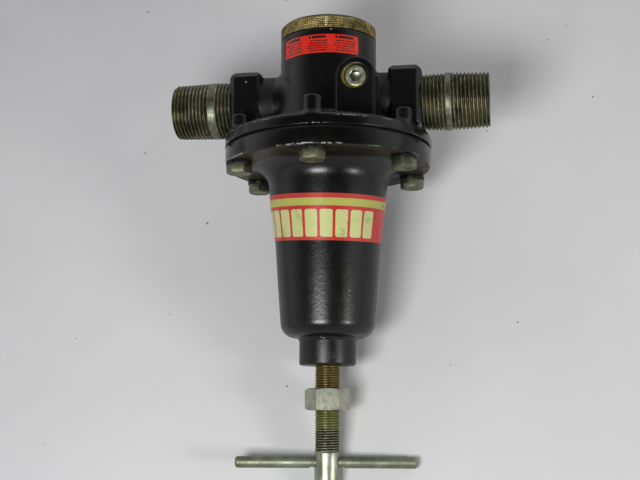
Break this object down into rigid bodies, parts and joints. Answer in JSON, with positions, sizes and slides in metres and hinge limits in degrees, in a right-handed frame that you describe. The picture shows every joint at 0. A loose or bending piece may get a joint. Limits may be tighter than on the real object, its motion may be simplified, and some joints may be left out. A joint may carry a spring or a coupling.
{
  "type": "air pressure regulator",
  "caption": "Diaphragm air pressure regulator with flanged body and bonnet, threaded pipe nipples in both ports, capped valve chamber and T-handle adjusting screw with lock nut.",
  "frame": {"origin": "where the pipe line crosses the main axis, in the middle of the body", "axes": "+Z along the main axis towards the bottom plug, +X along the pipe line towards the outlet, -Y towards the front gauge port and the labels"},
  "size_m": [0.1857, 0.1228, 0.2659],
  "materials": {
    "black_paint": "semi-gloss black paint over a casting, fine orange peel",
    "old_brass": "tarnished olive brass, knurled",
    "rubber": "matt black rubber",
    "pipe_steel": "oily threaded pipe steel, dark roots and bright crests",
    "bright_zinc": "bright zinc plating",
    "brass": "turned brass",
    "warning_red": "printed vinyl label with plain dark bars",
    "label_red": "printed label in red and pale green-yellow, plain shapes",
    "zinc": "dull greenish grey zinc plating",
    "dark_washer": "black oxide",
    "spring_steel": "drawn spring steel",
    "plate_steel": "pressed and plated steel"
  },
  "bodies": {
    "housing": {"body": "black_paint", "bottom_plug": "old_brass", "plug_seal": "rubber", "inlet_nipple": "pipe_steel", "outlet_nipple": "pipe_steel", "front_gauge_plug": "bright_zinc", "rear_gauge_plug": "bright_zinc", "valve_seat": "brass", "body_label": "warning_red", "diaphragm": "rubber", "bonnet": "black_paint", "bonnet_bolts": "zinc", "lock_washers": "dark_washer", "bonnet_label": "label_red", "regulating_spring": "spring_steel", "valve_spring": "spring_steel"},
    "diaphragm_stack": {"diaphragm_plate": "plate_steel", "spring_plate": "plate_steel", "relief_stud": "brass", "stud_nut": "plate_steel"},
    "valve": {"valve_poppet": "brass", "valve_disc": "rubber", "valve_stem": "bright_zinc", "poppet_seal": "rubber"},
    "spring_follower": {"spring_button": "plate_steel", "thrust_ball": "spring_steel"},
    "screw": {"adjusting_screw": "zinc", "t_bar": "bright_zinc"},
    "nut": {"lock_nut": "zinc"}
  },
  "joints": [
    {"name": "diaphragm_lift", "type": "slide", "parent": "housing", "child": "diaphragm_stack", "axis": [0, 0, 1], "range_m": [0, 0.003], "stiffness_N_per_m": 1500, "springref_m": -0.002, "deforming": ["diaphragm"]},
    {"name": "valve_lift", "type": "slide", "parent": "housing", "child": "valve", "axis": [0, 0, 1], "range_m": [0, 0.003], "deforming": ["valve_spring"]},
    {"name": "screw_feed", "type": "slide", "parent": "housing", "child": "spring_follower", "axis": [0, 0, 1], "range_m": [-0.0028, 0.0197], "deforming": ["regulating_spring"]},
    {"name": "screw_turn", "type": "hinge", "parent": "spring_follower", "child": "screw", "pos_m": [0, 0, -0.17], "axis": [0, 0, 1], "range_deg": [-720, 5040]},
    {"name": "lock_nut_travel", "type": "slide", "parent": "housing", "child": "nut", "axis": [0, 0, 1], "range_m": [-0.005, 0.0125]}
  ],
  "couplings": [
    {"joint": "screw_turn", "follows": "screw_feed", "rad_per_m": 4452.7},
    {"joint": "valve_lift", "follows": "diaphragm_lift", "ratio": 1}
  ]
}
